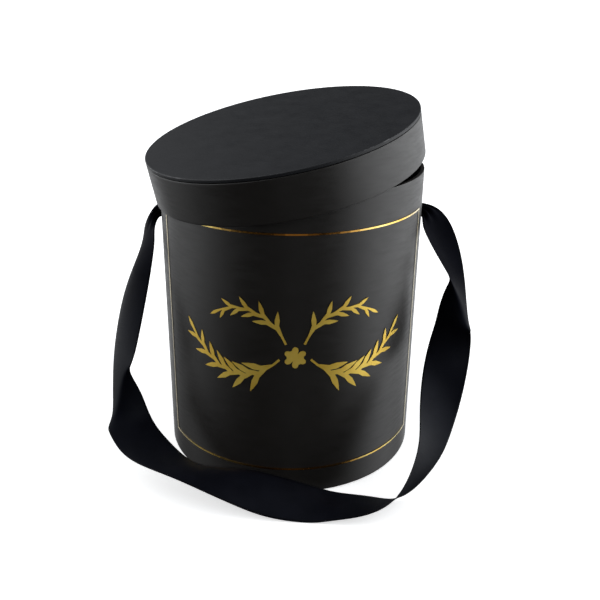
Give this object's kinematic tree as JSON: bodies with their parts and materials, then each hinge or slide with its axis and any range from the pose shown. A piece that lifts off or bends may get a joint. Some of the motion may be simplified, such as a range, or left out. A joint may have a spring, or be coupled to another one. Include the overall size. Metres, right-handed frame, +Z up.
{
  "type": "hat box",
  "caption": "Round paper-covered hat box with a lift-off lid resting askew, a ribbon handle knotted through side holes, and a gold foil line and leaf print on its front.",
  "frame": {"origin": "centre of the underside of the box, on the surface it stands on", "axes": "+Z up; the printed front faces -Y; the two ribbon holes lie on the X axis, with the low side of the askew lid towards -X"},
  "size_m": [0.3019, 0.2632, 0.3014],
  "materials": {
    "grey_board": "raw grey board, matt",
    "black_cover_paper": "black coated paper, satin",
    "black_lining_paper": "black uncoated paper, matt",
    "black_satin": "woven satin ribbon with a soft sheen",
    "gold_foil": "gold hot-stamped foil, polished"
  },
  "bodies": {
    "box": {"body_tube": "grey_board", "body_cover_paper": "black_cover_paper", "body_lining_paper": "black_lining_paper", "base_board": "grey_board", "base_lining_paper": "black_lining_paper", "base_cover_paper": "black_cover_paper", "foil_border": "gold_foil", "foil_blossom": "gold_foil", "foil_long_sprig_left": "gold_foil", "foil_long_sprig_right": "gold_foil", "foil_short_sprig_left": "gold_foil", "foil_short_sprig_right": "gold_foil"},
    "lid": {"lid_skirt_board": "grey_board", "lid_skirt_paper": "black_cover_paper", "lid_top_board": "grey_board", "lid_top_paper": "black_cover_paper", "lid_top_lining_paper": "black_lining_paper"},
    "ribbon": {"ribbon_handle": "black_satin", "ribbon_knot_left": "black_satin", "ribbon_knot_right": "black_satin"}
  },
  "joints": [
    {"name": "lid_lift", "type": "slide", "parent": "box", "child": "lid", "axis": [0, 0, 1], "range_m": [0, 0.12]},
    {"name": "ribbon_swing", "type": "hinge", "parent": "box", "child": "ribbon", "pos_m": [0, 0, 0.2084], "axis": [-1, 0, 0], "range_deg": [0, 80]}
  ]
}
